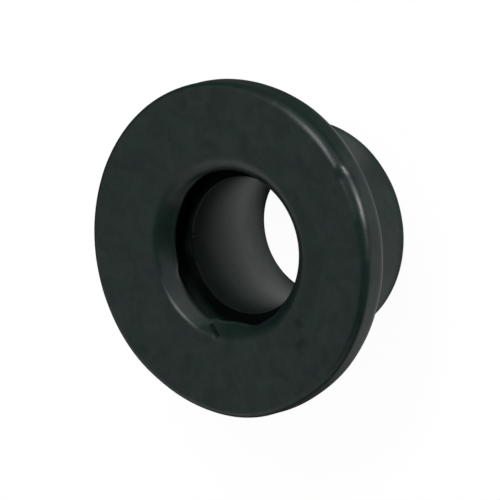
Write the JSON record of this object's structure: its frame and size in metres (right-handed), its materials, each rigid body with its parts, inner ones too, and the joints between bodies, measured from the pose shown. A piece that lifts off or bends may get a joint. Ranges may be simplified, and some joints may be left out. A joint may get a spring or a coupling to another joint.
{
  "type": "flanged rubber bushing",
  "caption": "Flanged rubber bushing: a flat round flange on a short barrel, with a through bore and a rounded, undercut mouth.",
  "frame": {"origin": "centre of the barrel's end face, which the bushing stands on", "axes": "+Z along the bore, from the barrel's end to the flat face of the flange; the part is round about Z, so X and Y are free"},
  "size_m": [0.028, 0.028, 0.0125],
  "materials": {
    "black_rubber": "moulded, dull satin, slightly cloudy"
  },
  "bodies": {
    "root": {"bushing": "black_rubber"}
  },
  "joints": []
}
